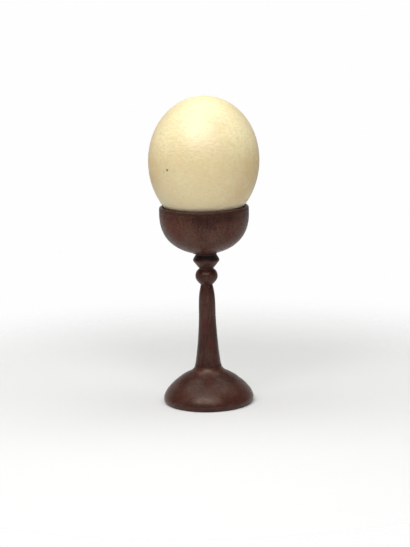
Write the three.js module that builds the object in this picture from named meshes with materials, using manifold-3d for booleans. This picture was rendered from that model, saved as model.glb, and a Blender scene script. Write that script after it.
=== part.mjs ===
// An ostrich egg in a turned hardwood cup on a slim turned stem.
// Millimetres, +Z up. The origin is the middle of the foot's underside.
// The egg rests in the cup and lifts straight out. Cup, stem and foot are three
// turnings, joined by round tenons glued into blind sockets.

import * as THREE from "three";
import { mergeVertices } from "three/addons/utils/BufferGeometryUtils.js";
import Module from "manifold-3d";

// Egg
const eggWidth = 130;
const eggLength = 153.6;
const eggBluntness = 0.017; // how much wider the upper half is than the lower one
const eggMiddleHeight = 288;
const eggLean = 2.5; // degrees towards +X, as it settled in the cup
const eggLeanShift = 0.8; // how far that carries its middle

// The cup and the egg in it stand a little to one side of the stem, as glued by hand
const headOffset = -1.5;

// Cup
const cupRadius = 52.7;
const cupSideBottom = 227.3; // the side is upright from here to the rim
const cupFloorRadius = 14.6;
const cupFloorHeight = 180.2;
const cupFloorEdge = 1.4; // height of the small hollow round the floor
const rimHeight = 236;
const rimRounding = 2.5;
const mouthRadius = 48.3;
const mouthRounding = 0.8;
const seatAngle = 33; // degrees up round the egg from its lower end, where the cup carries it
const seatWidth = 5;
const hollowBottom = 199.5;

// Stem
const collarRadius = 12.4;
const collarLength = 1.8;
const ridgeRadius = 15.3;
const ridgeHeight = 171.7;
const ridgeFlat = 1.8; // half height of the blunt edge between the ridge's two cones
const ridgeBlunt = 0.4; // how far that edge draws in at its lower end
const throatRadius = 8.5;
const throatHeight = 161.5;
const throatLength = 0.8;
const beadRadius = 13.2;
const beadHeight = 152.3;
const neckRadius = 6.95;
const neckHeight = 142.3;
const waistRadius = 9.9;
const waistHeight = 112;
const shaftRadius = 14.45; // just above the short flare onto the foot
const shaftHeight = 51;
const stemFootRadius = 15.7;

// Foot
const footRadius = 53.65;
const footWidestHeight = 5.3;
const footContactRadius = 51.5;
const footTopRadius = 15.85;
const footTopHeight = 44.5;
const flareRadius = 26.5; // where the hollow flare turns into the dome
const flareHeight = 34.3;

// Joints
const tenonRadius = 7;
const tenonLength = 13;
const gap = 0.3; // between faces that touch

// Smoothness
const roundFacets = 40;
const stemFacets = 28;
const eggFacets = 48;
const curveSteps = 6;

const eggHalfWidth = eggWidth / 2;
const eggHalfLength = eggLength / 2;
const cornerPull = 0.55; // of its radius, where a curve stands for a quarter circle

// Slopes of an outline, in degrees from level, with the way outwards as 0
const upright = 90;
const level = 180;
const downright = 270;

/** An outline of radius and height, drawn from the axis round to the axis. */
class Outline extends THREE.Path {
  /** Curves on to a point, leaving and arriving at a slope; a pull is that end's handle. */
  curveTo(radius, height, leave, arrive) {
    const start = this.currentPoint;
    const leaving = THREE.MathUtils.degToRad(leave.slope);
    const arriving = THREE.MathUtils.degToRad(arrive.slope);
    this.bezierCurveTo(
      start.x + leave.pull * Math.cos(leaving),
      start.y + leave.pull * Math.sin(leaving),
      radius - arrive.pull * Math.cos(arriving),
      height - arrive.pull * Math.sin(arriving),
      radius,
      height,
    );
  }

  turned(facets) {
    return new THREE.LatheGeometry(this.getPoints(curveSteps), facets).rotateX(Math.PI / 2);
  }
}

function named(name, geometry, colour, roughness) {
  const material = new THREE.MeshStandardMaterial({ color: colour, roughness, metalness: 0 });
  const mesh = new THREE.Mesh(geometry, material);
  mesh.name = name;
  return mesh;
}

/** A point of the egg's outline, at an angle up round it from its lower end. */
function eggPoint(angle) {
  const blunt = 1 - eggBluntness * Math.cos(angle);
  return new THREE.Vector2(
    eggHalfWidth * Math.sin(angle) * blunt,
    -eggHalfLength * Math.cos(angle),
  );
}

/** A slightly blunt-topped ellipse turned about its long axis, leaning a little. */
function makeEgg() {
  const rings = eggFacets / 2;
  const outline = [];
  for (let ring = 0; ring <= rings; ring += 1) {
    const point = eggPoint((ring / rings) * Math.PI);
    if (ring === 0 || ring === rings) point.x = 0;
    outline.push(point);
  }
  const geometry = new THREE.LatheGeometry(outline, eggFacets).rotateX(Math.PI / 2);
  geometry.rotateY(THREE.MathUtils.degToRad(eggLean));
  const egg = named("egg", geometry, "#e3d6ab", 0.45);
  egg.position.set(headOffset + eggLeanShift, 0, eggMiddleHeight);
  return egg;
}

/** The cup's seat: a straight band along the egg's underside, one gap below it. */
function seatBand() {
  const angle = THREE.MathUtils.degToRad(seatAngle);
  const touching = eggPoint(angle);
  const outwards = Math.cos(angle) - eggBluntness * Math.cos(2 * angle);
  const slope = Math.atan2(eggHalfLength * Math.sin(angle), eggHalfWidth * outwards);
  const middle = new THREE.Vector2(
    touching.x + gap * Math.sin(slope),
    eggMiddleHeight + touching.y - gap * Math.cos(slope),
  );
  const half = new THREE.Vector2(Math.cos(slope), Math.sin(slope)).multiplyScalar(seatWidth / 2);
  return {
    low: middle.clone().sub(half),
    high: middle.clone().add(half),
    slope: THREE.MathUtils.radToDeg(slope),
  };
}

/** Outside of the bowl up to the rim, then down inside past the seat to the hollow's middle. */
function cupOutline() {
  const seat = seatBand();
  const underside = { slope: 16, pull: 21.9 };
  const outline = new Outline();
  outline.moveTo(0, cupFloorHeight);
  outline.lineTo(cupFloorRadius, cupFloorHeight);
  outline.curveTo(
    cupFloorRadius + 2 * cupFloorEdge,
    cupFloorHeight + cupFloorEdge,
    { slope: 50, pull: 1.3 },
    { slope: underside.slope, pull: 1.1 },
  );
  outline.curveTo(cupRadius, cupSideBottom, underside, { slope: upright, pull: 26.4 });
  outline.lineTo(cupRadius, rimHeight - rimRounding);
  outline.curveTo(
    cupRadius - rimRounding,
    rimHeight,
    { slope: upright, pull: cornerPull * rimRounding },
    { slope: level, pull: cornerPull * rimRounding },
  );
  outline.lineTo(mouthRadius + mouthRounding, rimHeight);
  outline.curveTo(
    mouthRadius,
    rimHeight - mouthRounding,
    { slope: level, pull: cornerPull * mouthRounding },
    { slope: downright, pull: cornerPull * mouthRounding },
  );
  outline.curveTo(
    seat.high.x,
    seat.high.y,
    { slope: 254, pull: 3.1 },
    { slope: level + seat.slope, pull: 5 },
  );
  outline.lineTo(seat.low.x, seat.low.y);
  outline.curveTo(0, hollowBottom, { slope: 254, pull: 15.4 }, { slope: level, pull: 15 });
  return outline;
}

/** Cuts one closed geometry out of another. */
async function cut(body, tool) {
  const manifold = await Module();
  manifold.setup();
  const solid = (geometry) => {
    const bare = geometry.clone();
    bare.deleteAttribute("normal");
    bare.deleteAttribute("uv");
    const merged = mergeVertices(bare);
    return new manifold.Manifold(new manifold.Mesh({
      numProp: 3,
      vertProperties: merged.attributes.position.array,
      triVerts: new Uint32Array(merged.index.array),
    }));
  };
  const result = solid(body).subtract(solid(tool)).getMesh();
  const geometry = new THREE.BufferGeometry();
  geometry.setAttribute("position", new THREE.BufferAttribute(result.vertProperties, 3));
  geometry.setIndex(new THREE.BufferAttribute(result.triVerts, 1));
  geometry.computeVertexNormals();
  return geometry;
}

/** The cup stands off the stem's axis, so its socket is bored off its own centre. */
async function makeCup() {
  const radius = tenonRadius + gap;
  const depth = tenonLength + gap;
  const below = 5; // the cutter starts clear of the floor
  const cutter = new THREE.CylinderGeometry(radius, radius, depth + below, stemFacets);
  cutter.rotateX(Math.PI / 2);
  cutter.translate(-headOffset, 0, cupFloorHeight + (depth - below) / 2);
  const bored = await cut(cupOutline().turned(roundFacets), cutter);
  const cup = named("cup", bored, "#4b2d26", 0.38);
  cup.position.x = headOffset;
  return cup;
}

/** From the lower tenon up: swelling shaft, round bead, ridged bead, collar, upper tenon. */
function makeStem() {
  const bottom = footTopHeight + gap;
  const top = cupFloorHeight - gap;
  const outline = new Outline();
  outline.moveTo(0, bottom - tenonLength);
  outline.lineTo(tenonRadius, bottom - tenonLength);
  outline.lineTo(tenonRadius, bottom);
  outline.lineTo(stemFootRadius, bottom);
  outline.curveTo(shaftRadius, shaftHeight, { slope: 110, pull: 2 }, { slope: 96, pull: 2.3 });
  outline.curveTo(waistRadius, waistHeight, { slope: 98, pull: 17.3 }, { slope: upright, pull: 17 });
  outline.curveTo(neckRadius, neckHeight, { slope: upright, pull: 16.7 }, { slope: 102, pull: 9 });
  outline.curveTo(beadRadius, beadHeight, { slope: 44, pull: 3.6 }, { slope: upright, pull: 4.2 });
  outline.curveTo(
    throatRadius,
    throatHeight - throatLength / 2,
    { slope: upright, pull: 4 },
    { slope: 149, pull: 3.7 },
  );
  outline.lineTo(throatRadius, throatHeight + throatLength / 2);
  outline.lineTo(ridgeRadius - ridgeBlunt, ridgeHeight - ridgeFlat);
  outline.curveTo(
    ridgeRadius - ridgeBlunt / 2,
    ridgeHeight + ridgeFlat,
    { slope: 60, pull: 1.4 },
    { slope: 118, pull: 1.4 },
  );
  outline.lineTo(collarRadius, top - collarLength);
  outline.lineTo(collarRadius, top);
  outline.lineTo(tenonRadius, top);
  outline.lineTo(tenonRadius, top + tenonLength);
  outline.lineTo(0, top + tenonLength);
  return named("stem", outline.turned(stemFacets), "#4a2a24", 0.4);
}

/** A low dome that sweeps up in a hollow flare, with its edge curving in underneath. */
function makeFoot() {
  const socketRadius = tenonRadius + gap;
  const socketBottom = footTopHeight - tenonLength;
  const shoulder = 154; // slope of the dome where the flare begins
  const outline = new Outline();
  outline.moveTo(0, 0);
  outline.lineTo(footContactRadius, 0);
  outline.curveTo(footRadius, footWidestHeight, { slope: 35, pull: 1.6 }, { slope: upright, pull: 2.5 });
  outline.curveTo(flareRadius, flareHeight, { slope: upright, pull: 9.5 }, { slope: shoulder, pull: 9.9 });
  outline.curveTo(footTopRadius, footTopHeight, { slope: shoulder, pull: 5.9 }, { slope: 100, pull: 5.2 });
  outline.lineTo(socketRadius, footTopHeight);
  outline.lineTo(socketRadius, socketBottom);
  outline.lineTo(0, socketBottom);
  return named("foot", outline.turned(roundFacets), "#45302a", 0.36);
}

const part = new THREE.Group();
part.add(makeEgg());
part.add(await makeCup());
part.add(makeStem());
part.add(makeFoot());

export default part;
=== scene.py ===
import math

import bpy
from mathutils import Matrix, Vector


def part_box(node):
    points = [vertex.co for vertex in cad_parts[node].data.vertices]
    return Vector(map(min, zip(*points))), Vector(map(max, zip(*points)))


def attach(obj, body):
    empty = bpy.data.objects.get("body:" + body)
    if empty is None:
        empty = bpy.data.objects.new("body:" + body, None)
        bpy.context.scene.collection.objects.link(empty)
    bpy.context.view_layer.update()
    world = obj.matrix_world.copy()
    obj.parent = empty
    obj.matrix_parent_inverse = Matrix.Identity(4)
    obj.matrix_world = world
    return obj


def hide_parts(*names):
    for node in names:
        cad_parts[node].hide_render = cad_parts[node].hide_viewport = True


# Ostrich egg in a turned hardwood cup, on a beaded stem and a domed foot.
# Metres, +Z up. The origin is the middle of the foot's underside.

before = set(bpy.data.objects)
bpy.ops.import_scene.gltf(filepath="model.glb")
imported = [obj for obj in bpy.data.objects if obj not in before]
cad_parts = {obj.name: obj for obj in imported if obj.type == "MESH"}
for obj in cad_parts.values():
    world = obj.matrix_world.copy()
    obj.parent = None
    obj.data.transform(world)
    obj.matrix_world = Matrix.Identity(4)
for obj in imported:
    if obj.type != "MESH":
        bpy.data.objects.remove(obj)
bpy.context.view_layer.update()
mm = 0.001

eggLow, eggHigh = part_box("egg")
cupLow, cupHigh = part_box("cup")
stemLow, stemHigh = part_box("stem")
footLow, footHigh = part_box("foot")
eggMiddle = (eggLow + eggHigh) / 2
headX = (cupLow.x + cupHigh.x) / 2  # the cup and the egg stand a little to one side
print("frame loaded:", ", ".join(sorted(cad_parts)))


# Selecting and modifying.

def makeActive(piece):
    bpy.ops.object.select_all(action="DESELECT")
    piece.select_set(True)
    bpy.context.view_layer.objects.active = piece


# Selects the vertices that pass a test, and nothing else, and stays in edit mode.
def selectWhere(piece, test):
    makeActive(piece)
    bpy.ops.object.mode_set(mode="EDIT")
    bpy.ops.mesh.select_mode(type="VERT")
    bpy.ops.mesh.select_all(action="DESELECT")
    bpy.ops.object.mode_set(mode="OBJECT")
    for vertex in piece.data.vertices:
        vertex.select = test(vertex)
    bpy.ops.object.mode_set(mode="EDIT")


def applyModifier(piece, modifier):
    makeActive(piece)
    bpy.ops.object.modifier_apply(modifier=modifier.name)


# Turned outlines. Each stretch is a dictionary, and each end of a curved one has a slope
# and a pull: 0 degrees is outwards and 90 is up, and the pull is its handle's length.

def handleOf(slope, pull):
    angle = math.radians(slope)
    return Vector((pull * math.cos(angle), 0, pull * math.sin(angle)))


def straightTo(radius, height, spacing=0.6 * mm):
    return {"end": Vector((radius, 0, height)), "spacing": spacing}


def curvedTo(radius, height, leave, arrive, spacing=0.6 * mm):
    stretch = straightTo(radius, height, spacing)
    stretch["leave"] = handleOf(*leave)
    stretch["arrive"] = handleOf(*arrive)
    return stretch


quarterPull = 0.55  # of the radius, where a curve stands for a quarter circle


# A quarter circle that sets off at a slope.
def cornerTo(radius, height, slope, rounding, spacing):
    pull = quarterPull * rounding
    return curvedTo(radius, height, (slope, pull), (slope + 90, pull), spacing)


def drawOutline(name, startHeight, stretches):
    bpy.ops.object.select_all(action="DESELECT")
    bpy.ops.curve.primitive_bezier_curve_add()
    outline = bpy.context.object
    outline.name = name
    outline.data.name = name
    outline.data.splines.clear()
    start = Vector((0, 0, startHeight))
    for stretch in stretches:
        end = stretch["end"]
        leave = stretch.get("leave", (end - start) / 3)
        arrive = stretch.get("arrive", (end - start) / 3)
        spline = outline.data.splines.new("BEZIER")
        spline.bezier_points.add(1)
        for point, place, handle in zip(spline.bezier_points, (start, end), (leave, arrive)):
            point.handle_left_type = "FREE"
            point.handle_right_type = "FREE"
            point.co = place
            point.handle_left = place - handle
            point.handle_right = place + handle
        spline.resolution_u = max(2, math.ceil((end - start).length / stretch["spacing"]))
        start = end
    bpy.ops.object.convert(target="MESH")
    return bpy.context.object


latheValues = {
    "toolMarks": 0.012 * mm,  # how unevenly the gouge cut
    "markedFrom": 2 * mm,  # nearer the axis, the outline stays as drawn
    "drawnMerge": 0.001 * mm,  # closer points are one, before and after the spin
    "spunMerge": 0.01 * mm,
    "sharpness": math.radians(28),  # sharper edges are rounded
    "edge": 0.2 * mm,
    "edgeSteps": 3,
    "smoothness": math.radians(40),
}


# Spins an outline round an upright axis and rounds the edges.
def turnOnLathe(outline, axisX, steps, seed):
    makeActive(outline)
    bpy.ops.object.mode_set(mode="EDIT")
    bpy.ops.mesh.select_all(action="SELECT")
    bpy.ops.mesh.remove_doubles(threshold=latheValues["drawnMerge"])
    bpy.ops.object.mode_set(mode="OBJECT")
    selectWhere(outline, lambda vertex: vertex.co.x > latheValues["markedFrom"])
    bpy.ops.transform.vertex_random(offset=latheValues["toolMarks"], seed=seed)
    bpy.ops.mesh.select_all(action="SELECT")
    bpy.ops.transform.translate(value=(axisX, 0, 0))
    bpy.ops.mesh.spin(steps=steps, angle=math.tau, center=(axisX, 0, 0), axis=(0, 0, 1))
    bpy.ops.mesh.select_all(action="SELECT")
    bpy.ops.mesh.remove_doubles(threshold=latheValues["spunMerge"])
    bpy.ops.mesh.normals_make_consistent(inside=False)
    bpy.ops.mesh.select_mode(type="EDGE")
    bpy.ops.mesh.select_all(action="DESELECT")
    bpy.ops.mesh.edges_select_sharp(sharpness=latheValues["sharpness"])
    bpy.ops.mesh.bevel(offset=latheValues["edge"], segments=latheValues["edgeSteps"], clamp_overlap=True)
    bpy.ops.mesh.select_mode(type="VERT")
    bpy.ops.object.mode_set(mode="OBJECT")
    bpy.ops.object.shade_smooth_by_angle(angle=latheValues["smoothness"])
    return outline


# Moves the skin in and out, at most by the depth, in swells of about the size.
def unevenSkin(piece, name, size, depth):
    texture = bpy.data.textures.new(name, "CLOUDS")
    texture.noise_scale = size
    texture.noise_depth = 2
    displace = piece.modifiers.new(name, "DISPLACE")
    displace.texture = texture
    displace.texture_coords = "LOCAL"
    displace.mid_level = 0.5
    displace.strength = 2 * depth
    applyModifier(piece, displace)


# Building materials.

def rgb(red, green, blue):
    return (red, green, blue, 1.0)


def addNode(tree, kind, inputs=None, **settings):
    node = tree.nodes.new("ShaderNode" + kind)
    for name, value in settings.items():
        setattr(node, name, value)
    for name, value in (inputs or {}).items():
        if isinstance(value, bpy.types.NodeSocket):
            tree.links.new(value, node.inputs[name])
        else:
            node.inputs[name].default_value = value
    return node


def startMaterial(name):
    material = bpy.data.materials.new(name)
    material.use_nodes = True
    tree = material.node_tree
    tree.nodes.clear()
    shader = addNode(tree, "BsdfPrincipled")
    output = addNode(tree, "OutputMaterial")
    tree.links.new(shader.outputs[0], output.inputs["Surface"])
    place = addNode(tree, "TexCoord").outputs["Object"]
    return material, tree, shader, place


def mixColours(tree, factor, first, second):
    return addNode(tree, "Mix", {0: factor, 6: first, 7: second}, data_type="RGBA").outputs[2]


def doMath(tree, operation, first, second=0.0):
    return addNode(tree, "Math", {0: first, 1: second}, operation=operation).outputs[0]


# Gives all its outputs, because some operations make a vector and some a number.
def doVectorMath(tree, operation, first, second=(0, 0, 0)):
    return addNode(tree, "VectorMath", {0: first, 1: second}, operation=operation).outputs


# Goes smoothly from one result to the other while the value crosses between two edges.
def rampOf(tree, value, edges, atFirst=0.0, atSecond=1.0):
    inputs = {"Value": value, "From Min": edges[0], "From Max": edges[1]}
    inputs["To Min"] = atFirst
    inputs["To Max"] = atSecond
    return addNode(tree, "MapRange", inputs, interpolation_type="SMOOTHSTEP").outputs[0]


def noiseAt(tree, place, size, detail=2.0, roughness=0.5, distortion=0.0):
    inputs = {"Vector": place, "Scale": 1 / size, "Detail": detail, "Roughness": roughness}
    inputs["Distortion"] = distortion
    return addNode(tree, "TexNoise", inputs).outputs[0]


# Adds relief to a normal, or starts one.
def bumpOf(tree, height, distance, strength, under=None):
    inputs = {"Height": height, "Distance": distance, "Strength": strength}
    if under is not None:
        inputs["Normal"] = under
    return addNode(tree, "Bump", inputs).outputs[0]


# A level band round a piece: height and half width in millimetres, and strength.
def band(height, halfWidth, strength):
    return {"height": height * mm, "halfWidth": halfWidth * mm, "strength": strength}


def bandsOn(tree, height, bands):
    total = 0.0
    for item in bands:
        away = doMath(tree, "ABSOLUTE", doMath(tree, "SUBTRACT", height, item["height"]))
        inside = rampOf(tree, away, (0.0, item["halfWidth"]), item["strength"], 0.0)
        total = doMath(tree, "ADD", total, inside)
    return total


# A soft-edged spot on a round piece: its turn from the front in degrees, its height,
# distance from the axis and reach in millimetres, and its strength.
def spot(turn, height, radius, reach, strength):
    angle = math.radians(turn)
    middle = Vector((radius * mm * math.sin(angle), -radius * mm * math.cos(angle), height * mm))
    return {"middle": middle, "reach": reach * mm, "strength": strength}


spotValues = {
    "wanderSize": 6 * mm,  # the edges wander in swings of about this size
    "wander": 0.6,  # of the reach
}


def spotsOn(tree, place, axisX, spots):
    inputs = {"Vector": place, "Scale": 1 / spotValues["wanderSize"], "Detail": 3.0}
    swing = addNode(tree, "TexNoise", inputs).outputs["Color"]
    swing = doVectorMath(tree, "SUBTRACT", swing, (0.5, 0.5, 0.5))[0]
    total = 0.0
    for item in spots:
        inputs = {0: swing, "Scale": spotValues["wander"] * item["reach"]}
        nudge = addNode(tree, "VectorMath", inputs, operation="SCALE").outputs[0]
        moved = doVectorMath(tree, "ADD", place, nudge)[0]
        middle = item["middle"] + Vector((axisX, 0, 0))
        away = doVectorMath(tree, "DISTANCE", moved, middle)["Value"]
        inside = rampOf(tree, away, (0.0, item["reach"]), item["strength"], 0.0)
        total = doMath(tree, "ADD", total, inside)
    return total


# What the three turnings' wood has in common. Edges are where a pattern sets in and is full.
woodValues = {
    "layerEdges": (0.36, 0.64),
    "patchEdges": (0.38, 0.64),
    "streakEdges": (0.42, 0.62),
    "streakShare": 0.7,
    "streakDepth": 0.09 * mm,
    "fibreEdges": (0.52, 0.68),
    "fibreShare": 0.65,
    "fibreDepth": 0.05 * mm,
    "grainRelief": 0.6,
    "poreEdges": (0.56, 0.66),
    "poreDepth": 0.12 * mm,
    "poreDulling": 0.16,
    "fleckSize": 1.7 * mm,
    "darkFleckEdges": (0.50, 0.66),
    "paleFleckEdges": (0.48, 0.34),
    "unevennessSize": 3.2 * mm,
    "unevennessEdges": (0.42, 0.62),
    "leastUneven": 0.25,
    "grimeAndShadeDulling": 0.12,
    "handledSize": 14 * mm,
    "handledEdges": (0.3, 0.7),
    "ringSize": 0.9 * mm,  # fine rings that the tool left
    "ringDepth": 0.03 * mm,
    "ringRelief": 0.5,
}


# Dark red-brown hardwood under a thin satin finish, with open pores along the grain. Some of its bands and
# spots are painted highlights, a painted reflection and painted shade.
def makeWood(name, look, axisX):
    common = woodValues
    material, tree, shader, place = startMaterial(name)
    inputs = {"Vector": place, "Location": look["cutFrom"], "Scale": look["grainStretch"]}
    inputs["Rotation"] = (0, 0, look["layerTurn"])
    grainPlace = addNode(tree, "Mapping", inputs).outputs[0]
    split = addNode(tree, "SeparateXYZ", {0: place}).outputs
    height = split[2]

    layers = noiseAt(tree, grainPlace, look["layerSize"], detail=3, roughness=0.55, distortion=1.2)
    streaks = noiseAt(tree, grainPlace, look["streakSize"], detail=6, roughness=0.65, distortion=0.3)
    fibres = noiseAt(tree, grainPlace, look["fibreSize"], detail=3, roughness=0.6)
    pores = rampOf(tree, noiseAt(tree, grainPlace, look["poreSize"]), common["poreEdges"])
    patches = noiseAt(tree, place, look["patchSize"], detail=3)

    wood = mixColours(tree, rampOf(tree, layers, common["layerEdges"]), look["dark"], look["brown"])
    mask = doMath(tree, "MULTIPLY", rampOf(tree, streaks, common["streakEdges"]), common["streakShare"])
    wood = mixColours(tree, mask, wood, look["red"])
    mask = doMath(tree, "MULTIPLY", rampOf(tree, patches, common["patchEdges"]), look["redness"])
    wood = mixColours(tree, mask, wood, look["red"])
    mask = doMath(tree, "MULTIPLY", rampOf(tree, fibres, common["fibreEdges"]), common["fibreShare"])
    wood = mixColours(tree, mask, wood, look["fibre"])
    for spots, colour in (("tanSpots", "tan"), ("redSpots", "flame"), ("darkSpots", "maroon")):
        wood = mixColours(tree, spotsOn(tree, place, axisX, look[spots]), wood, look[colour])
    wood = mixColours(tree, doMath(tree, "MULTIPLY", pores, look["openness"]), wood, look["pore"])
    flecks = noiseAt(tree, place, common["fleckSize"], roughness=0.6)
    for edges, colour in (("darkFleckEdges", "pore"), ("paleFleckEdges", "fibre")):
        mask = rampOf(tree, flecks, common[edges], 0.0, look["flecked"])
        wood = mixColours(tree, mask, wood, look[colour])

    # Lighter bands, broken up by noise: wear on edges, painted highlights on the foot's flare and the
    # stem's bead, and a painted reflection of the egg on the cup's rim.
    unevenness = noiseAt(tree, place, common["unevennessSize"], detail=4, roughness=0.6)
    unevenness = rampOf(tree, unevenness, common["unevennessEdges"], common["leastUneven"], 1.0)
    wearAndHighlight = doMath(tree, "MULTIPLY", bandsOn(tree, height, look["wearAndHighlightBands"]), unevenness)
    wood = mixColours(tree, wearAndHighlight, wood, look["wearAndHighlight"])
    # Darker bands: dark joints, darker grooves, and painted shade under the cup, below the cup's rim and
    # along the foot's bottom edge.
    grimeAndShade = bandsOn(tree, height, look["grimeAndShadeBands"])
    wood = mixColours(tree, grimeAndShade, wood, look["grimeAndShade"])
    tree.links.new(wood, shader.inputs["Base Color"])

    handled = noiseAt(tree, place, common["handledSize"], detail=3, roughness=0.6)
    dull = rampOf(tree, handled, common["handledEdges"], look["glossiest"], look["dullest"])
    dull = doMath(tree, "ADD", dull, doMath(tree, "MULTIPLY", pores, common["poreDulling"]))
    dull = doMath(tree, "ADD", dull, doMath(tree, "MULTIPLY", grimeAndShade, common["grimeAndShadeDulling"]))
    tree.links.new(dull, shader.inputs["Roughness"])
    shader.inputs["Specular IOR Level"].default_value = look["shine"]
    shader.inputs["Specular Tint"].default_value = look["sheen"]

    across = doMath(tree, "SUBTRACT", split[0], axisX)
    flat = addNode(tree, "CombineXYZ", {0: across, 1: split[1]}).outputs[0]
    radius = doVectorMath(tree, "LENGTH", flat)["Value"]
    ringPlace = addNode(tree, "CombineXYZ", {0: radius, 2: height}).outputs[0]
    rings = noiseAt(tree, ringPlace, common["ringSize"], detail=3, roughness=0.6)
    normal = bumpOf(tree, rings, common["ringDepth"], common["ringRelief"])
    normal = bumpOf(tree, streaks, common["streakDepth"], common["grainRelief"], normal)
    normal = bumpOf(tree, fibres, common["fibreDepth"], common["grainRelief"], normal)
    between = doMath(tree, "SUBTRACT", 1.0, pores)
    normal = bumpOf(tree, between, common["poreDepth"], look["openness"], normal)
    tree.links.new(normal, shader.inputs["Normal"])
    return material


# The glued joints of the stand: a round tenon at each end of the stem.
jointValues = {
    "tenonRadius": 7 * mm,
    "tenonLength": 13 * mm,
    "gap": 0.3 * mm,  # between faces that touch
    "spacing": 2 * mm,  # coarse, as it is hidden
}


# The foot: a low dome under a hollow flare.

footValues = {
    "contactRadius": 51.5 * mm,
    "contactSpacing": 2.5 * mm,
    "widestHeight": 5.3 * mm,
    "shoulderRadius": 26.5 * mm,  # where the flare turns into the dome
    "shoulderHeight": 34.3 * mm,
    "shoulderSlope": 154,
    "topRadius": 15.85 * mm,
    "steps": 256,
    "seed": 3,
    "swellSize": 45 * mm,
    "swellDepth": 0.12 * mm,
    "flatUpTo": 0.15 * mm,  # what lies lower is pressed flat
}

footLook = {
    "cutFrom": (0.31, 0.12, 0.05),
    "layerTurn": math.radians(38),
    "grainStretch": (0.16, 1, 1),
    "layerSize": 8 * mm,
    "streakSize": 2.4 * mm,
    "fibreSize": 1.4 * mm,
    "poreSize": 0.8 * mm,
    "patchSize": 22 * mm,
    "dark": rgb(0.030, 0.012, 0.009),
    "brown": rgb(0.060, 0.027, 0.019),
    "red": rgb(0.072, 0.019, 0.014),
    "fibre": rgb(0.105, 0.052, 0.036),
    "pore": rgb(0.012, 0.005, 0.004),
    "flame": rgb(0.090, 0.018, 0.012),
    "maroon": rgb(0.030, 0.010, 0.008),
    "tan": rgb(0.085, 0.048, 0.032),
    "wearAndHighlight": rgb(0.12, 0.060, 0.042),
    "grimeAndShade": rgb(0.018, 0.009, 0.007),
    "tanSpots": [
        spot(-66, 24, 46, 12, 0.6),
        spot(62, 26, 44, 12, 0.6),
        spot(38, 24, 44, 14, 0.7),
        spot(-36, 24, 44, 12, 0.4),
        # painted highlight on the front of the flare
        spot(-6, 40, 19, 9, 1.0),
    ],
    "redSpots": [
        spot(-60, 7, 53, 9, 0.6),
        spot(60, 7, 53, 9, 0.6),
        spot(-25, 5, 53, 8, 0.4),
        spot(150, 16, 50, 16, 0.6),
    ],
    "darkSpots": [
        # two small dark marks high on the dome: a painted dark reflection of the stem and cup
        spot(19, 31, 32, 4, 0.9),
        spot(11, 33, 29.5, 3, 0.7),
        spot(-30, 29, 35, 6, 0.3),
        # painted contact shadow along the front of the bottom edge
        spot(-20, 2, 53, 13, 0.6),
        spot(0, 2, 53, 13, 0.7),
        spot(20, 2, 53, 13, 0.6),
        spot(200, 22, 44, 14, 0.6),
    ],
    # a worn bottom edge, and a painted highlight round the flare
    "wearAndHighlightBands": [band(2, 2.5, 0.3), band(39, 3.5, 0.4)],
    # the dark joint under the stem, painted contact shade along the bottom edge, and a little darker over
    # the top of the dome
    "grimeAndShadeBands": [band(44.6, 0.8, 0.35), band(0, 1.2, 0.7), band(30, 9, 0.1)],
    "redness": 0.5,
    "openness": 0.35,
    "flecked": 0.18,
    "glossiest": 0.25,
    "dullest": 0.35,
    "shine": 0.31,
    "sheen": rgb(1.0, 0.86, 0.74),
}


def makeFoot(values):
    radius = (footHigh.x - footLow.x) / 2
    top = footHigh.z
    shoulder = values["shoulderSlope"]
    socketRadius = jointValues["tenonRadius"] + jointValues["gap"]
    socketBottom = top - jointValues["tenonLength"]
    hidden = jointValues["spacing"]
    outline = drawOutline("domedFoot", 0, [
        straightTo(values["contactRadius"], 0, values["contactSpacing"]),
        curvedTo(radius, values["widestHeight"], (35, 1.6 * mm), (90, 2.5 * mm)),
        curvedTo(values["shoulderRadius"], values["shoulderHeight"], (90, 9.5 * mm), (shoulder, 9.9 * mm)),
        curvedTo(values["topRadius"], top, (shoulder, 5.9 * mm), (100, 5.2 * mm)),
        straightTo(socketRadius, top, hidden),
        straightTo(socketRadius, socketBottom, hidden),
        straightTo(0, socketBottom, hidden),
    ])
    foot = turnOnLathe(outline, 0, values["steps"], values["seed"])
    unevenSkin(foot, "footSwells", values["swellSize"], values["swellDepth"])
    sandFlat(foot, values["flatUpTo"])
    foot.data.materials.append(makeWood("footWood", footLook, 0))
    return foot


# Presses the underside onto the plane that the foot stands on.
def sandFlat(foot, upTo):
    selectWhere(foot, lambda vertex: vertex.co.z < upTo)
    bpy.ops.transform.resize(value=(1, 1, 0), center_override=(0, 0, 0))
    bpy.ops.object.mode_set(mode="OBJECT")


# The stem: a swelling shaft under a round bead, a ridged bead and a collar.

stemValues = {
    "footRadius": 15.7 * mm,
    "shaftRadius": 14.45 * mm,  # just above the short flare onto the foot
    "shaftHeight": 51 * mm,
    "waistRadius": 9.9 * mm,
    "waistHeight": 112 * mm,
    "neckRadius": 6.95 * mm,
    "neckHeight": 142.3 * mm,
    "beadRadius": 13.2 * mm,
    "beadHeight": 152.3 * mm,
    "beadSpacing": 0.4 * mm,
    "throatRadius": 8.5 * mm,
    "throatHeight": 161.5 * mm,
    "throatHalf": 0.4 * mm,
    "ridgeRadius": 15.3 * mm,
    "ridgeHeight": 171.7 * mm,
    "ridgeHalf": 1.8 * mm,
    "ridgeBlunt": 0.4 * mm,
    "collarRadius": 12.4 * mm,
    "collarLength": 1.8 * mm,
    "collarSpacing": 0.5 * mm,
    "steps": 144,
    "seed": 5,
    "swellSize": 35 * mm,
    "swellDepth": 0.12 * mm,
}

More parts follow.
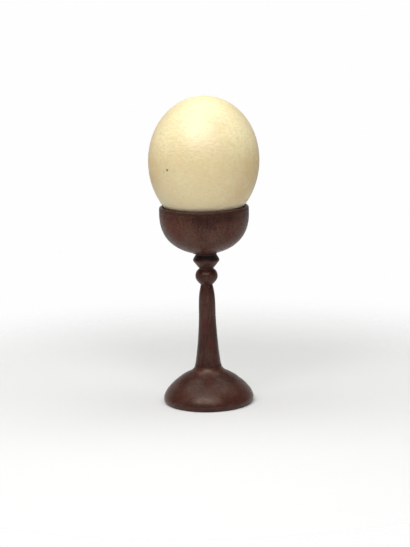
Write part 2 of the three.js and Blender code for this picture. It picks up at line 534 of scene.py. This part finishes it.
stemLook = {
    "cutFrom": (0.11, 0.27, 0.4),
    "layerTurn": math.radians(24),
    "grainStretch": (1, 1, 0.07),
    "layerSize": 6.5 * mm,
    "streakSize": 2.2 * mm,
    "fibreSize": 1.5 * mm,
    "poreSize": 0.9 * mm,
    "patchSize": 20 * mm,
    "dark": rgb(0.026, 0.009, 0.007),
    "brown": rgb(0.052, 0.020, 0.015),
    "red": rgb(0.064, 0.016, 0.013),
    "fibre": rgb(0.105, 0.048, 0.036),
    "pore": rgb(0.010, 0.004, 0.004),
    "flame": rgb(0.072, 0.015, 0.013),
    "maroon": rgb(0.024, 0.007, 0.006),
    "tan": rgb(0.080, 0.046, 0.032),
    "wearAndHighlight": rgb(0.13, 0.060, 0.045),
    "grimeAndShade": rgb(0.032, 0.026, 0.026),
    "tanSpots": [
        spot(22, 128, 10, 16, 0.2),
        spot(32, 106, 10, 14, 0.4),
        spot(-60, 128, 10, 12, 0.4),
        spot(-20, 168, 13, 4, 0.5),
        spot(0, 58, 14, 11, 0.5),
    ],
    "redSpots": [
        spot(-10, 96, 11, 12, 0.7),
        spot(20, 72, 13, 10, 0.5),
        spot(30, 146, 10, 6, 0.6),
        spot(10, 164, 9, 4, 0.5),
        spot(190, 110, 10, 14, 0.6),
    ],
    "darkSpots": [
        spot(35, 166, 12, 3, 0.8),
        spot(-50, 70, 13, 12, 0.6),
        spot(60, 84, 12, 16, 0.6),
        spot(160, 64, 14, 12, 0.7),
    ],
    # a worn ridge edge, and a painted highlight on the bead's upper side
    "wearAndHighlightBands": [band(171.7, 1.6, 0.4), band(154.5, 3.5, 0.35)],
    # darker in the throat and the neck, painted shade on the ridge's upper cone under the cup, and the
    # dark joint on the foot
    "grimeAndShadeBands": [
        band(161.5, 1.6, 0.3),
        band(142.6, 1.6, 0.4),
        band(177.6, 5, 1.0),
        band(45, 0.8, 0.35),
    ],
    "redness": 0.5,
    "openness": 0.8,
    "flecked": 0.2,
    "glossiest": 0.27,
    "dullest": 0.38,
    "shine": 0.32,
    "sheen": rgb(1.0, 0.80, 0.69),
}


def makeStem(values):
    bottom = stemLow.z + jointValues["tenonLength"]
    top = stemHigh.z - jointValues["tenonLength"]
    tenon = jointValues["tenonRadius"]
    hidden = jointValues["spacing"]
    throat = values["throatRadius"]
    throatLow = values["throatHeight"] - values["throatHalf"]
    throatHigh = values["throatHeight"] + values["throatHalf"]
    ridge = values["ridgeRadius"]
    ridgeLow = values["ridgeHeight"] - values["ridgeHalf"]
    ridgeHigh = values["ridgeHeight"] + values["ridgeHalf"]
    blunt = values["ridgeBlunt"]
    collar = values["collarRadius"]
    fine = values["beadSpacing"]
    plain = values["collarSpacing"]
    outline = drawOutline("turnedStem", stemLow.z, [
        straightTo(tenon, stemLow.z, hidden),
        straightTo(tenon, bottom, hidden),
        straightTo(values["footRadius"], bottom, hidden),
        curvedTo(values["shaftRadius"], values["shaftHeight"], (110, 2 * mm), (96, 2.3 * mm)),
        curvedTo(values["waistRadius"], values["waistHeight"], (98, 17.3 * mm), (90, 17 * mm)),
        curvedTo(values["neckRadius"], values["neckHeight"], (90, 16.7 * mm), (102, 9 * mm)),
        curvedTo(values["beadRadius"], values["beadHeight"], (44, 3.6 * mm), (90, 4.2 * mm), fine),
        curvedTo(throat, throatLow, (90, 4 * mm), (149, 3.7 * mm), fine),
        straightTo(throat, throatHigh, fine),
        straightTo(ridge - blunt, ridgeLow, plain),
        curvedTo(ridge - blunt / 2, ridgeHigh, (60, 1.4 * mm), (118, 1.4 * mm), fine),
        straightTo(collar, top - values["collarLength"], plain),
        straightTo(collar, top, plain),
        straightTo(tenon, top, hidden),
        straightTo(tenon, stemHigh.z, hidden),
        straightTo(0, stemHigh.z, hidden),
    ])
    stem = turnOnLathe(outline, 0, values["steps"], values["seed"])
    unevenSkin(stem, "stemSwells", values["swellSize"], values["swellDepth"])
    stem.data.materials.append(makeWood("stemWood", stemLook, 0))
    return stem


# The cup: a round bowl with a rounded rim, a seat for the egg and a hollow under it.

cupValues = {
    "floorRadius": 14.6 * mm,
    "floorEdge": 1.4 * mm,  # height of the small hollow round the floor
    "undersideSlope": 16,
    "sideBottom": 227.3 * mm,  # the side is upright from here to the rim
    "rimRounding": 2.5 * mm,
    "mouthRadius": 48.3 * mm,
    "mouthRounding": 0.8 * mm,
    "seatAngle": math.radians(33),  # up round the egg from its lower end
    "seatWidth": 5 * mm,
    "hollowBottom": 199.5 * mm,
    "inwardSlope": 254,  # of the inside above and below the seat
    "edgeSpacing": 0.4 * mm,
    "mouthSpacing": 0.3 * mm,
    "insideSpacing": 0.8 * mm,
    "seatSpacing": 1.2 * mm,
    "hollowSpacing": 1.5 * mm,
    "socketSteps": 64,
    "drillBelow": 5 * mm,  # the drill starts clear of the floor
    "steps": 224,
    "seed": 8,
    "swellSize": 50 * mm,
    "swellDepth": 0.12 * mm,
}

cupLook = {
    "cutFrom": (0.21, 0.07, 0.13),
    "layerTurn": math.radians(-14),
    "grainStretch": (1, 1, 0.28),
    "layerSize": 12 * mm,
    "streakSize": 2.6 * mm,
    "fibreSize": 1.5 * mm,
    "poreSize": 0.9 * mm,
    "patchSize": 17 * mm,
    "dark": rgb(0.042, 0.017, 0.012),
    "brown": rgb(0.078, 0.034, 0.023),
    "red": rgb(0.096, 0.028, 0.018),
    "fibre": rgb(0.130, 0.066, 0.045),
    "pore": rgb(0.014, 0.005, 0.004),
    "flame": rgb(0.096, 0.022, 0.011),
    "maroon": rgb(0.032, 0.007, 0.007),
    "tan": rgb(0.125, 0.070, 0.050),
    "wearAndHighlight": rgb(0.080, 0.047, 0.022),
    "grimeAndShade": rgb(0.014, 0.008, 0.006),
    "tanSpots": [
        # lighter low on the front of the bowl: a painted reflection of the floor
        spot(-24, 206, 44, 18, 0.6),
        spot(-6, 198, 38, 14, 0.6),
        spot(14, 206, 44, 18, 0.5),
        spot(-72, 224, 52.7, 16, 0.7),
        spot(80, 220, 52.7, 16, 0.4),
        spot(90, 200, 40, 16, 0.5),
        spot(-140, 204, 42, 18, 0.6),
    ],
    "redSpots": [
        spot(-50, 222, 52, 20, 0.8),
        spot(-42, 207, 46, 17, 1.0),
        spot(40, 207, 46, 17, 0.95),
        spot(0, 186, 24, 8, 0.6),
        spot(120, 216, 51, 22, 0.7),
        spot(-150, 226, 52, 18, 0.6),
    ],
    "darkSpots": [
        # painted shade along the upper front of the cup, under the egg
        spot(-10, 228, 52.7, 13, 0.9),
        spot(5, 225, 52.7, 16, 1.0),
        spot(20, 229, 52.7, 12, 0.8),
        spot(34, 228, 52.7, 13, 1.0),
        spot(30, 201, 41, 5, 0.8),
        spot(-44, 196, 36, 7, 0.5),
        spot(-120, 212, 49, 20, 0.7),
        spot(175, 228, 52, 16, 0.7),
    ],
    # wear along the rim, lightened further as a painted reflection of the egg
    "wearAndHighlightBands": [band(236.2, 1.6, 0.5)],
    # the dark joint on the stem, and painted shade below the rim and down the upper side
    "grimeAndShadeBands": [band(180.6, 1.2, 0.7), band(233.2, 2.6, 0.45), band(229, 9, 0.2)],
    "redness": 0.45,
    "openness": 1.0,
    "flecked": 0.36,
    "glossiest": 0.25,
    "dullest": 0.38,
    "shine": 0.22,
    "sheen": rgb(1.0, 0.80, 0.69),
}


# The seat: a straight band along the egg's underside, one gap below it.
def seatBand(values, shape):
    angle = values["seatAngle"]
    gap = jointValues["gap"]
    halfWidth = shape["width"] / 2
    halfLength = shape["length"] / 2
    blunt = shape["bluntness"]
    outwards = halfWidth * (math.cos(angle) - blunt * math.cos(2 * angle))
    slope = math.atan2(halfLength * math.sin(angle), outwards)
    radius = halfWidth * math.sin(angle) * (1 - blunt * math.cos(angle)) + gap * math.sin(slope)
    height = eggMiddle.z - halfLength * math.cos(angle) - gap * math.cos(slope)
    across = values["seatWidth"] / 2 * math.cos(slope)
    up = values["seatWidth"] / 2 * math.sin(slope)
    return (radius - across, height - up), (radius + across, height + up), math.degrees(slope)


def makeCup(values):
    radius = (cupHigh.x - cupLow.x) / 2
    floor = cupLow.z
    floorRadius = values["floorRadius"]
    floorEdge = values["floorEdge"]
    underside = values["undersideSlope"]
    rim = cupHigh.z
    rounding = values["rimRounding"]
    mouth = values["mouthRadius"]
    mouthRounding = values["mouthRounding"]
    inward = values["inwardSlope"]
    seatLow, seatHigh, seatSlope = seatBand(values, eggValues)
    fine = values["edgeSpacing"]
    outline = drawOutline("turnedCup", floor, [
        straightTo(floorRadius, floor, jointValues["spacing"]),
        curvedTo(floorRadius + 2 * floorEdge, floor + floorEdge,
                 (50, 1.3 * mm), (underside, 1.1 * mm), fine),
        curvedTo(radius, values["sideBottom"], (underside, 21.9 * mm), (90, 26.4 * mm)),
        straightTo(radius, rim - rounding),
        cornerTo(radius - rounding, rim, 90, rounding, fine),
        straightTo(mouth + mouthRounding, rim, fine),
        cornerTo(mouth, rim - mouthRounding, 180, mouthRounding, values["mouthSpacing"]),
        curvedTo(*seatHigh, (inward, 3.1 * mm), (180 + seatSlope, 5 * mm), values["insideSpacing"]),
        straightTo(*seatLow, values["seatSpacing"]),
        curvedTo(0, values["hollowBottom"], (inward, 15.4 * mm), (180, 15 * mm), values["hollowSpacing"]),
    ])
    cup = turnOnLathe(outline, headX, values["steps"], values["seed"])
    unevenSkin(cup, "cupSwells", values["swellSize"], values["swellDepth"])
    boreSocket(cup, floor, values)
    cup.data.materials.clear()
    cup.data.materials.append(makeWood("cupWood", cupLook, headX))
    return cup


# The cup stands off the stem's axis, so its socket is bored off its own centre.
def boreSocket(cup, floor, values):
    radius = jointValues["tenonRadius"] + jointValues["gap"]
    below = values["drillBelow"]
    length = jointValues["tenonLength"] + jointValues["gap"] + below
    middle = (0, 0, floor - below + length / 2)
    bpy.ops.object.select_all(action="DESELECT")
    bpy.ops.mesh.primitive_cylinder_add(vertices=values["socketSteps"], radius=radius,
                                        depth=length, location=middle)
    drill = bpy.context.object
    bore = cup.modifiers.new("socketBore", "BOOLEAN")
    bore.operation = "DIFFERENCE"
    bore.object = drill
    applyModifier(cup, bore)
    bpy.data.objects.remove(drill)


# The egg: a slightly blunt-topped ellipse that leans a little in its cup.

eggValues = {
    "width": 130 * mm,
    "length": 153.6 * mm,
    "bluntness": 0.017,  # how much wider the upper half is than the lower one
    "lean": math.radians(2.5),  # towards +X
    "skinRoom": 0.1 * mm,  # kept free inside the outline for the swells of the skin
    "fineness": 7,
    "swellSize": 38 * mm,
    "swellDepth": 0.14 * mm,
    "rippleSize": 3.2 * mm,
    "rippleDepth": 0.05 * mm,
    "pitTurn": math.radians(-40.2),  # from the front, towards +X
    "pitHeight": -2.7 * mm,  # from the egg's middle
    "pitRadius": 0.8 * mm,
    "pitDepth": 0.45 * mm,
    "pitPatch": 3.2 * mm,  # the faces this near the pit are made finer
    "pitCuts": 3,
}

eggLook = {
    "cream": rgb(0.745, 0.622, 0.355),
    "peach": rgb(0.765, 0.572, 0.308),
    "ivory": rgb(0.785, 0.69, 0.415),
    "paintedLightCream": rgb(0.89, 0.785, 0.47),
    "tan": rgb(0.705, 0.51, 0.235),
    "stain": rgb(0.64, 0.51, 0.28),
    "rimGrey": rgb(0.70, 0.595, 0.44),
    "pore": rgb(0.50, 0.385, 0.195),
    "pit": rgb(0.10, 0.070, 0.035),
    "tintSize": 34 * mm,
    "tintEdges": (0.42, 0.7),
    "tinted": 0.45,
    "cloudSize": 13 * mm,
    "cloudEdges": (0.48, 0.75),
    "clouded": 0.6,
    "levelStretch": (0.6, 0.6, 1),  # draws the fine patterns out sideways
    "mottleSize": 2.2 * mm,
    "mottleEdges": (0.42, 0.7),
    "mottled": 0.5,
    "poreSpacing": 1.9 * mm,
    "poreEdges": (0.06, 0.26),
    "poreShare": 0.4,
    "poreDepth": 0.14 * mm,
    "poreRelief": 0.7,
    "poreDulling": 0.2,
    "thinningSize": 9 * mm,  # the pores are fewer in some places
    "thinningEdges": (0.4, 0.6),
    "fewest": 0.3,
    "peelSize": 3.0 * mm,
    "peelDepth": 0.6 * mm,
    "peelRelief": 0.85,
    "grainSize": 1.6 * mm,
    "grainDepth": 0.38 * mm,
    "grainRelief": 0.8,
    "glossEdges": (0.3, 0.7),
    "glossiest": 0.34,
    "dullest": 0.44,
    "shine": 0.8,
    # greyer beige low on the egg, round the cup's rim
    "rimGreyBands": [band(236, 10, 0.9)],
    # peach blushes: the shell's own tint, deepened on the lower sides as painted shade
    "blushSpots": [
        spot(-62, 322, 58, 34, 0.6),
        spot(66, 312, 60, 30, 0.5),
        spot(64, 282, 65, 44, 1.0),
        spot(52, 256, 58, 22, 0.9),
        spot(-74, 284, 65, 40, 1.0),
        spot(130, 300, 62, 40, 0.6),
        spot(205, 270, 62, 34, 0.7),
    ],
    # darker tan on the lower sides: the shell's own tone, deepened as painted shade
    "tanSpots": [
        spot(66, 281, 65, 36, 1.0),
        spot(44, 252, 57, 24, 0.8),
        spot(-66, 276, 65, 28, 0.8),
        spot(-96, 300, 64, 20, 0.4),
        spot(0, 282, 65, 30, 0.35),
        spot(170, 268, 63, 22, 0.4),
    ],
    # painted light on the top and the upper sides
    "paintedLightSpots": [
        spot(0, 358, 14, 52, 1.0),
        spot(-10, 332, 48, 26, 0.7),
        spot(50, 322, 54, 42, 1.1),
        spot(-48, 322, 54, 40, 0.85),
        spot(110, 330, 50, 30, 0.7),
    ],
    "specks": [
        spot(-40.2, 285.3, 64.5, 2.2, 1.4),
        spot(-40.8, 289.8, 64.5, 1.2, 0.6),
        spot(-40.6, 293.8, 64.5, 1.2, 0.6),
        spot(-45, 282.5, 64.5, 1.8, 0.4),
        spot(12, 318, 60, 0.8, 0.3),
        spot(156, 300, 64, 1.2, 0.7),
        spot(163, 276, 64, 0.9, 0.5),
        spot(88, 268, 62, 0.9, 0.4),
    ],
}


def makeEgg(values):
    halfWidth = values["width"] / 2 - values["skinRoom"]
    halfLength = values["length"] / 2 - values["skinRoom"]
    bpy.ops.object.select_all(action="DESELECT")
    bpy.ops.mesh.primitive_ico_sphere_add(subdivisions=values["fineness"], radius=halfWidth,
                                          location=eggMiddle)
    egg = bpy.context.object
    egg.name = "ostrichEgg"
    egg.data.name = "ostrichEgg"
    taper = egg.modifiers.new("bluntTop", "SIMPLE_DEFORM")
    taper.deform_method = "TAPER"
    taper.deform_axis = "Z"
    taper.factor = 2 * values["bluntness"]
    applyModifier(egg, taper)
    bpy.ops.object.transform_apply(location=True, rotation=False, scale=False)
    bpy.ops.object.mode_set(mode="EDIT")
    bpy.ops.transform.resize(value=(1, 1, halfLength / halfWidth), center_override=eggMiddle)
    bpy.ops.transform.rotate(value=-values["lean"], orient_axis="Y", center_override=eggMiddle)
    bpy.ops.object.mode_set(mode="OBJECT")
    bpy.ops.object.shade_smooth()
    unevenSkin(egg, "eggSwells", values["swellSize"], values["swellDepth"])
    unevenSkin(egg, "eggRipples", values["rippleSize"], values["rippleDepth"])
    pressPit(egg, values)
    egg.data.materials.append(makeEggshell(eggLook))
    return egg


# A small pit where the shell was chipped, pressed into a patch of finer faces.
def pressPit(egg, values):
    turn = values["pitTurn"]
    outwards = Vector((math.sin(turn), -math.cos(turn), 0))
    middle = eggMiddle + outwards * values["width"] / 2 + Vector((0, 0, values["pitHeight"]))
    selectWhere(egg, lambda vertex: (vertex.co - middle).length < values["pitPatch"])
    bpy.ops.mesh.subdivide(number_cuts=values["pitCuts"], smoothness=0)
    bpy.ops.object.mode_set(mode="OBJECT")
    nearest = min(egg.data.vertices, key=lambda vertex: (vertex.co - middle).length)
    selectWhere(egg, lambda vertex: vertex.index == nearest.index)
    bpy.ops.transform.translate(value=outwards * -values["pitDepth"], use_proportional_edit=True,
                                proportional_edit_falloff="SMOOTH", proportional_size=values["pitRadius"])
    bpy.ops.object.mode_set(mode="OBJECT")


# Cream shell with warm blushes at its sides, a fine stain and many small pores, with painted light over
# its top and painted shade on its lower sides.
def makeEggshell(look):
    material, tree, shader, place = startMaterial("eggshell")
    level = addNode(tree, "Mapping", {"Vector": place, "Scale": look["levelStretch"]}).outputs[0]
    height = addNode(tree, "SeparateXYZ", {0: place}).outputs[2]

    tints = noiseAt(tree, place, look["tintSize"], detail=3, roughness=0.55)
    mask = rampOf(tree, tints, look["tintEdges"], 0.0, look["tinted"])
    shell = mixColours(tree, mask, look["cream"], look["peach"])
    # the peach and tan darken the lower sides, partly as painted shade
    for spots, colour in (("blushSpots", "peach"), ("tanSpots", "tan")):
        shell = mixColours(tree, spotsOn(tree, place, eggMiddle.x, look[spots]), shell, look[colour])
    # painted light: a paler cream over the top and the upper sides
    pale = doMath(tree, "MINIMUM", spotsOn(tree, place, eggMiddle.x, look["paintedLightSpots"]), 1.0)
    shell = mixColours(tree, pale, shell, look["paintedLightCream"])
    clouds = noiseAt(tree, place, look["cloudSize"], detail=5, roughness=0.62)
    mask = rampOf(tree, clouds, look["cloudEdges"], 0.0, look["clouded"])
    shell = mixColours(tree, mask, shell, look["ivory"])
    mottle = noiseAt(tree, level, look["mottleSize"], detail=4, roughness=0.62)
    mask = rampOf(tree, mottle, look["mottleEdges"], 0.0, look["mottled"])
    shell = mixColours(tree, mask, shell, look["stain"])
    # greyer beige low on the egg, round the cup's rim
    shell = mixColours(tree, bandsOn(tree, height, look["rimGreyBands"]), shell, look["rimGrey"])

    cells = addNode(tree, "TexVoronoi", {"Vector": place, "Scale": 1 / look["poreSpacing"]})
    pores = rampOf(tree, cells.outputs["Distance"], look["poreEdges"], 1.0, 0.0)
    thinning = noiseAt(tree, place, look["thinningSize"])
    thinning = rampOf(tree, thinning, look["thinningEdges"], look["fewest"], 1.0)
    pores = doMath(tree, "MULTIPLY", pores, thinning)
    shell = mixColours(tree, doMath(tree, "MULTIPLY", pores, look["poreShare"]), shell, look["pore"])
    specks = doMath(tree, "MINIMUM", spotsOn(tree, place, eggMiddle.x, look["specks"]), 1.0)
    shell = mixColours(tree, specks, shell, look["pit"])
    tree.links.new(shell, shader.inputs["Base Color"])

    dull = rampOf(tree, clouds, look["glossEdges"], look["glossiest"], look["dullest"])
    dull = doMath(tree, "ADD", dull, doMath(tree, "MULTIPLY", pores, look["poreDulling"]))
    tree.links.new(dull, shader.inputs["Roughness"])
    shader.inputs["Specular IOR Level"].default_value = look["shine"]

    peel = noiseAt(tree, level, look["peelSize"])
    normal = bumpOf(tree, peel, look["peelDepth"], look["peelRelief"])
    grain = noiseAt(tree, level, look["grainSize"], detail=3, roughness=0.55)
    normal = bumpOf(tree, grain, look["grainDepth"], look["grainRelief"], normal)
    between = doMath(tree, "SUBTRACT", 1.0, pores)
    normal = bumpOf(tree, between, look["poreDepth"], look["poreRelief"], normal)
    tree.links.new(normal, shader.inputs["Normal"])
    return material


# The pale sheet that it stands on, and the room round it.

stageValues = {
    "size": 4.0,
    "drop": 0.05 * mm,  # the sheet lies just under the foot
    "solidTo": 0.24,  # the sheet fades away between these two distances
    "goneAt": 0.62,
    "pale": rgb(0.74, 0.74, 0.735),
    "dullness": 0.9,
    "shine": 0.1,
    "allRound": 0.02,  # how bright the room is all round, and how much brighter behind
    "behind": 0.54,
    "behindEdges": (0.1, 0.8),
    "levelEdges": (0.15, 0.6),  # the brightness behind fades out above and below
    "roomColour": rgb(1.0, 1.0, 1.0),
    "backdrop": rgb(0.99, 0.99, 0.99),
}


def makeFloor(values):
    bpy.ops.object.select_all(action="DESELECT")
    bpy.ops.mesh.primitive_plane_add(size=values["size"], location=(0, 0, -values["drop"]))
    floor = bpy.context.object
    floor.name = "paleFloor"
    bpy.ops.object.transform_apply(location=True, rotation=False, scale=False)
    material, tree, shader, place = startMaterial("paleSheet")
    shader.inputs["Base Color"].default_value = values["pale"]
    shader.inputs["Roughness"].default_value = values["dullness"]
    shader.inputs["Specular IOR Level"].default_value = values["shine"]
    away = doVectorMath(tree, "LENGTH", place)["Value"]
    sheet = rampOf(tree, away, (values["solidTo"], values["goneAt"]), 1.0, 0.0)
    unseen = doMath(tree, "SUBTRACT", 1.0, addNode(tree, "LightPath").outputs["Is Camera Ray"])
    tree.links.new(doMath(tree, "MAXIMUM", sheet, unseen), shader.inputs["Alpha"])
    floor.data.materials.append(material)


# White where it is seen, and for the light a dim room that is brighter behind the part.
def makeRoomLight(values):
    world = bpy.data.worlds.new("studioRoom")
    world.use_nodes = True
    tree = world.node_tree
    tree.nodes.clear()
    direction = addNode(tree, "TexCoord").outputs["Generated"]
    split = addNode(tree, "SeparateXYZ", {0: direction}).outputs
    level = rampOf(tree, doMath(tree, "ABSOLUTE", split[2]), values["levelEdges"], 1.0, 0.0)
    behind = rampOf(tree, split[1], values["behindEdges"], 0.0, values["behind"])
    behind = doMath(tree, "MULTIPLY", behind, level)
    glow = doMath(tree, "ADD", behind, values["allRound"])
    room = addNode(tree, "Background", {"Color": values["roomColour"], "Strength": glow})
    backdrop = addNode(tree, "Background", {"Color": values["backdrop"]})
    seen = addNode(tree, "LightPath").outputs["Is Camera Ray"]
    both = addNode(tree, "MixShader", {0: seen, 1: room.outputs[0], 2: backdrop.outputs[0]})
    output = addNode(tree, "OutputWorld")
    tree.links.new(both.outputs[0], output.inputs["Surface"])
    bpy.context.scene.world = world


lightColour = (1.0, 1.0, 0.99)
softboxes = [
    {
        "name": "frontBox",
        "place": (-0.18, -1.13, 1.28),
        "aim": (0, 0, 0.2),
        "size": (1.8, 0.64),
        "watts": 18,
        "inReflections": True,
    },
    {
        "name": "highBox",
        "place": (-0.18, -0.82, 1.50),
        "aim": (0, 0, 0.2),
        "size": (1.2, 0.6),
        "watts": 5,
        "inReflections": True,
    },
    {
        "name": "wideBox",
        "place": (0.08, 0.05, 1.8),
        "aim": (0.08, 0.05, 0),
        "size": (4.4, 1.4),
        "watts": 20,
        "inReflections": False,
    },
    {
        "name": "topBox",
        "place": (-0.10, 0.15, 1.9),
        "aim": (-0.10, 0.15, 0),
        "size": (2.6, 1.2),
        "watts": 17.5,
        "inReflections": True,
    },
]


def addSoftbox(values):
    bpy.ops.object.select_all(action="DESELECT")
    towards = (Vector(values["aim"]) - Vector(values["place"])).to_track_quat("-Z", "Y").to_euler()
    bpy.ops.object.light_add(type="AREA", location=values["place"], rotation=towards)
    light = bpy.context.object
    light.name = values["name"]
    light.visible_glossy = values["inReflections"]
    light.data.shape = "RECTANGLE"
    light.data.size, light.data.size_y = values["size"]
    light.data.energy = values["watts"]
    light.data.color = lightColour


cameraValues = {
    "place": Vector((-1.75 * mm, -1.891, 0.5194)),
    "pitch": math.radians(10.9),  # downwards
    "roll": math.radians(1.15),
    "lens": 107.3,
    "sensorWidth": 36,
}


def makeCamera(values):
    bpy.ops.object.select_all(action="DESELECT")
    tilt = Matrix.Rotation(math.pi / 2 - values["pitch"], 3, "X")
    roll = Matrix.Rotation(-values["roll"], 3, "Z")
    bpy.ops.object.camera_add(location=values["place"], rotation=(tilt @ roll).to_euler())
    camera = bpy.context.object
    camera.name = "viewCamera"
    camera.data.lens = values["lens"]
    camera.data.sensor_width = values["sensorWidth"]
    bpy.context.scene.camera = camera


# Putting it together.

makeCamera(cameraValues)
makeFloor(stageValues)
makeRoomLight(stageValues)
for softbox in softboxes:
    addSoftbox(softbox)
bpy.context.scene.view_settings.view_transform = "Standard"
print("camera, floor and lights in place")

foot = makeFoot(footValues)
print("foot turned")
stem = makeStem(stemValues)
print("stem turned")
cup = makeCup(cupValues)
print("cup turned and bored")
egg = makeEgg(eggValues)
print("egg laid in the cup")

for piece, node, slot in ((foot, "foot", "foot_wood"), (stem, "stem", "stem_wood"),
                          (cup, "cup", "cup_wood"), (egg, "egg", "eggshell")):
    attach(piece, "root")
    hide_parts(node)
    print(piece.name, len(piece.data.vertices), "vertices")
